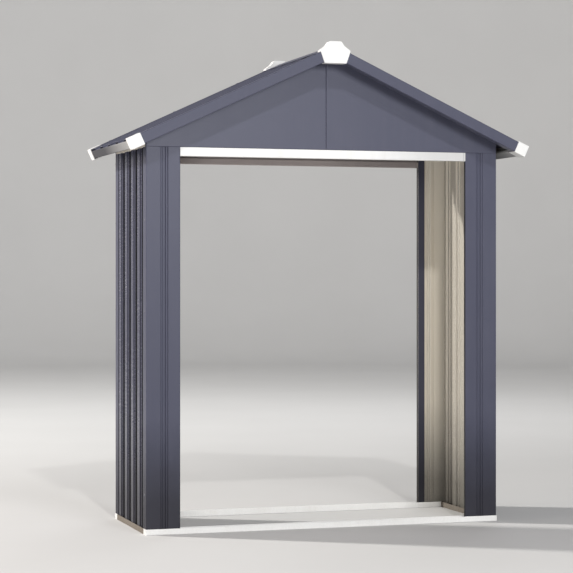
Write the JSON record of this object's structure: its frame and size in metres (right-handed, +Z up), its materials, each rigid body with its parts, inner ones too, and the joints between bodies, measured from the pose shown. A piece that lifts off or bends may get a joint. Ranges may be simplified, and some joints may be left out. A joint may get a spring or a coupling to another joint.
{
  "type": "log store",
  "caption": "Open-fronted sheet-steel garden log store with a low gabled roof, ribbed side walls, floor frame, trimmed verges and plastic end caps; logs stack between the posts.",
  "frame": {"origin": "centre of the base at ground level, under the middle of the roof", "axes": "+Z up, +X along the width to the right as seen from the front, +Y towards the rear; the front faces -Y"},
  "size_m": [1.633, 0.761, 1.893],
  "materials": {
    "anthracite_painted_steel": "satin",
    "white_coated_steel": "satin",
    "cream_coated_steel": "satin",
    "white_plastic": "matte"
  },
  "bodies": {
    "root": {"corner_post_front_left": "anthracite_painted_steel", "corner_post_front_right": "anthracite_painted_steel", "corner_post_rear_left": "anthracite_painted_steel", "corner_post_rear_right": "anthracite_painted_steel", "eave_cap_front_left": "white_plastic", "eave_cap_front_right": "white_plastic", "eave_cap_rear_left": "white_plastic", "eave_cap_rear_right": "white_plastic", "eave_trim_left": "white_coated_steel", "eave_trim_right": "white_coated_steel", "floor_rail_front": "white_coated_steel", "floor_rail_left": "white_coated_steel", "floor_rail_rear": "white_coated_steel", "floor_rail_right": "white_coated_steel", "gable_front_left": "anthracite_painted_steel", "gable_front_right": "anthracite_painted_steel", "gable_rear_left": "anthracite_painted_steel", "gable_rear_right": "anthracite_painted_steel", "header_rear": "white_coated_steel", "lintel_front": "white_coated_steel", "ridge_beam": "cream_coated_steel", "ridge_cap_front": "white_plastic", "ridge_cap_rear": "white_plastic", "ridge_cover": "anthracite_painted_steel", "roof_panel_front_left": "anthracite_painted_steel", "roof_panel_front_right": "anthracite_painted_steel", "roof_panel_rear_left": "anthracite_painted_steel", "roof_panel_rear_right": "anthracite_painted_steel", "side_panel_left": "anthracite_painted_steel", "side_panel_right": "anthracite_painted_steel", "side_top_rail_left": "cream_coated_steel", "side_top_rail_right": "cream_coated_steel", "verge_trim_front_left": "anthracite_painted_steel", "verge_trim_front_right": "anthracite_painted_steel", "verge_trim_rear_left": "anthracite_painted_steel", "verge_trim_rear_right": "anthracite_painted_steel"}
  },
  "joints": []
}
